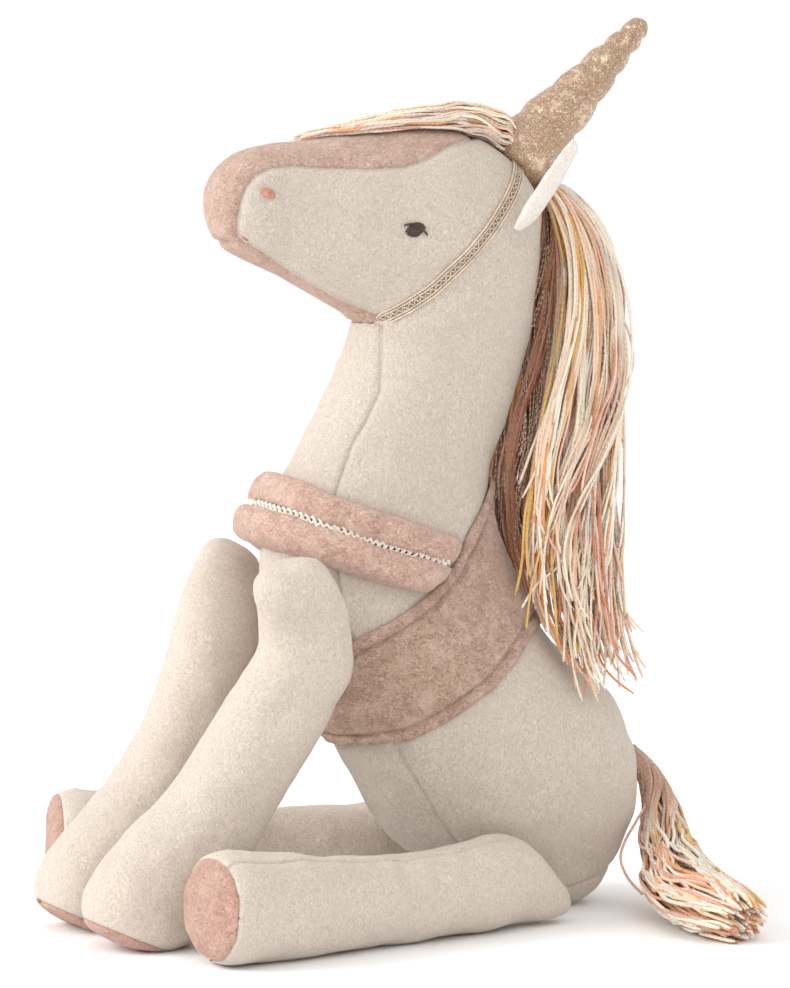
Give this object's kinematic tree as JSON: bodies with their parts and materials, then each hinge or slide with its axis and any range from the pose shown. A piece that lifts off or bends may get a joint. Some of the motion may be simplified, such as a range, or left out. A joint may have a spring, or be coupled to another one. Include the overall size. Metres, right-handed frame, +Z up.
{
  "type": "plush toy",
  "caption": "Sitting stuffed cloth unicorn with jointed legs, wound horn, yarn mane and tail, velour saddle, chest strap and gold braid bridle.",
  "frame": {"origin": "on the floor, in the middle of the flat seat panel under the rump", "axes": "+Z up, -Y the way the toy faces, +X its own left side"},
  "size_m": [0.2398, 0.2694, 0.3589],
  "materials": {
    "side_panel_left": "soft heathered wool felt, matt",
    "side_panel_right": "soft heathered wool felt, matt",
    "throat_gusset": "soft heathered wool felt, matt",
    "seat_panel": "soft heathered wool felt, matt",
    "face_gusset": "short-pile velour, dusty pink",
    "chin_gusset": "short-pile velour, dusty pink",
    "head_stuffing": "loose polyester fibre fill, never seen",
    "torso_stuffing": "loose polyester fibre fill, never seen",
    "hip_thread": "cotton thread",
    "shoulder_thread": "cotton thread",
    "saddle": "short-pile velour, dusty pink",
    "strap_upper_roll": "short-pile velour, dusty pink",
    "strap_lower_roll": "short-pile velour, dusty pink",
    "crochet_trim": "cotton thread",
    "horn_cover": "woven gold lame with fine glitter",
    "horn_stuffing": "loose polyester fibre fill, never seen",
    "horn_thread": "gold metallic thread",
    "bridle_braid": "gold metallic thread",
    "eye_left": "dark brown satin-stitch embroidery",
    "eye_right": "dark brown satin-stitch embroidery",
    "nostril_left": "salmon embroidery thread",
    "nostril_right": "salmon embroidery thread",
    "forelock": "loose cotton yarn, cream with pink, orange and mustard",
    "mane_back_layer": "loose cotton yarn, cream with pink, orange and mustard",
    "hind_leg_left_cover": "soft heathered wool felt, matt",
    "hind_leg_left_stuffing": "loose polyester fibre fill, never seen",
    "hind_leg_left_sole": "short-pile velour, dusty pink",
    "hind_leg_right_cover": "soft heathered wool felt, matt",
    "hind_leg_right_stuffing": "loose polyester fibre fill, never seen",
    "hind_leg_right_sole": "short-pile velour, dusty pink",
    "front_leg_left_cover": "soft heathered wool felt, matt",
    "front_leg_left_stuffing": "loose polyester fibre fill, never seen",
    "front_leg_left_sole": "short-pile velour, dusty pink",
    "front_leg_right_cover": "soft heathered wool felt, matt",
    "front_leg_right_stuffing": "loose polyester fibre fill, never seen",
    "front_leg_right_sole": "short-pile velour, dusty pink",
    "ear_left": "soft heathered wool felt, matt",
    "ear_right": "soft heathered wool felt, matt",
    "mane_lock": "loose cotton yarn, cream with pink, orange and mustard",
    "tail": "loose cotton yarn, cream with pink, orange and mustard"
  },
  "bodies": {
    "body": {"side_panel_left": "side_panel_left", "side_panel_right": "side_panel_right", "throat_gusset": "throat_gusset", "seat_panel": "seat_panel", "face_gusset": "face_gusset", "chin_gusset": "chin_gusset", "head_stuffing": "head_stuffing", "torso_stuffing": "torso_stuffing", "hip_thread": "hip_thread", "shoulder_thread": "shoulder_thread", "saddle": "saddle", "strap_upper_roll": "strap_upper_roll", "strap_lower_roll": "strap_lower_roll", "crochet_trim": "crochet_trim", "horn_cover": "horn_cover", "horn_stuffing": "horn_stuffing", "horn_thread": "horn_thread", "bridle_braid": "bridle_braid", "eye_left": "eye_left", "eye_right": "eye_right", "nostril_left": "nostril_left", "nostril_right": "nostril_right", "forelock": "forelock", "mane_back_layer": "mane_back_layer"},
    "hind_leg_left": {"hind_leg_left_cover": "hind_leg_left_cover", "hind_leg_left_stuffing": "hind_leg_left_stuffing", "hind_leg_left_sole": "hind_leg_left_sole"},
    "hind_leg_right": {"hind_leg_right_cover": "hind_leg_right_cover", "hind_leg_right_stuffing": "hind_leg_right_stuffing", "hind_leg_right_sole": "hind_leg_right_sole"},
    "front_leg_left": {"front_leg_left_cover": "front_leg_left_cover", "front_leg_left_stuffing": "front_leg_left_stuffing", "front_leg_left_sole": "front_leg_left_sole"},
    "front_leg_right": {"front_leg_right_cover": "front_leg_right_cover", "front_leg_right_stuffing": "front_leg_right_stuffing", "front_leg_right_sole": "front_leg_right_sole"},
    "ear_left": {"ear_left": "ear_left"},
    "ear_right": {"ear_right": "ear_right"},
    "mane_lock": {"mane_lock": "mane_lock"},
    "tail": {"tail": "tail"}
  },
  "joints": [
    {"name": "hip_left", "type": "hinge", "parent": "body", "child": "hind_leg_left", "pos_m": [0.045, -0.031, 0.02], "axis": [1, 0, 0], "range_deg": [-45, 60]},
    {"name": "hip_right", "type": "hinge", "parent": "body", "child": "hind_leg_right", "pos_m": [-0.045, -0.031, 0.02], "axis": [1, 0, 0], "range_deg": [-45, 60]},
    {"name": "shoulder_left", "type": "hinge", "parent": "body", "child": "front_leg_left", "pos_m": [0.045, -0.116, 0.127], "axis": [1, 0, 0], "range_deg": [-40, 5]},
    {"name": "shoulder_right", "type": "hinge", "parent": "body", "child": "front_leg_right", "pos_m": [-0.045, -0.116, 0.127], "axis": [1, 0, 0], "range_deg": [-40, 5]},
    {"name": "ear_left_flop", "type": "hinge", "parent": "body", "child": "ear_left", "pos_m": [0.0305, -0.0266, 0.276], "axis": [0.9207, -0.3903, 0], "range_deg": [-12, 12], "stiffness_Nm_per_rad": 0.02},
    {"name": "ear_right_flop", "type": "hinge", "parent": "body", "child": "ear_right", "pos_m": [-0.0305, -0.0266, 0.276], "axis": [0.9207, 0.3903, 0], "range_deg": [-12, 12], "stiffness_Nm_per_rad": 0.02},
    {"name": "mane_swing", "type": "hinge", "parent": "body", "child": "mane_lock", "pos_m": [0.008, 0.001, 0.288], "axis": [1, 0, 0], "range_deg": [0, 70]},
    {"name": "tail_swing", "type": "hinge", "parent": "body", "child": "tail", "pos_m": [0, 0.042, 0.054], "axis": [0, 0, 1], "range_deg": [-8, 125]}
  ]
}
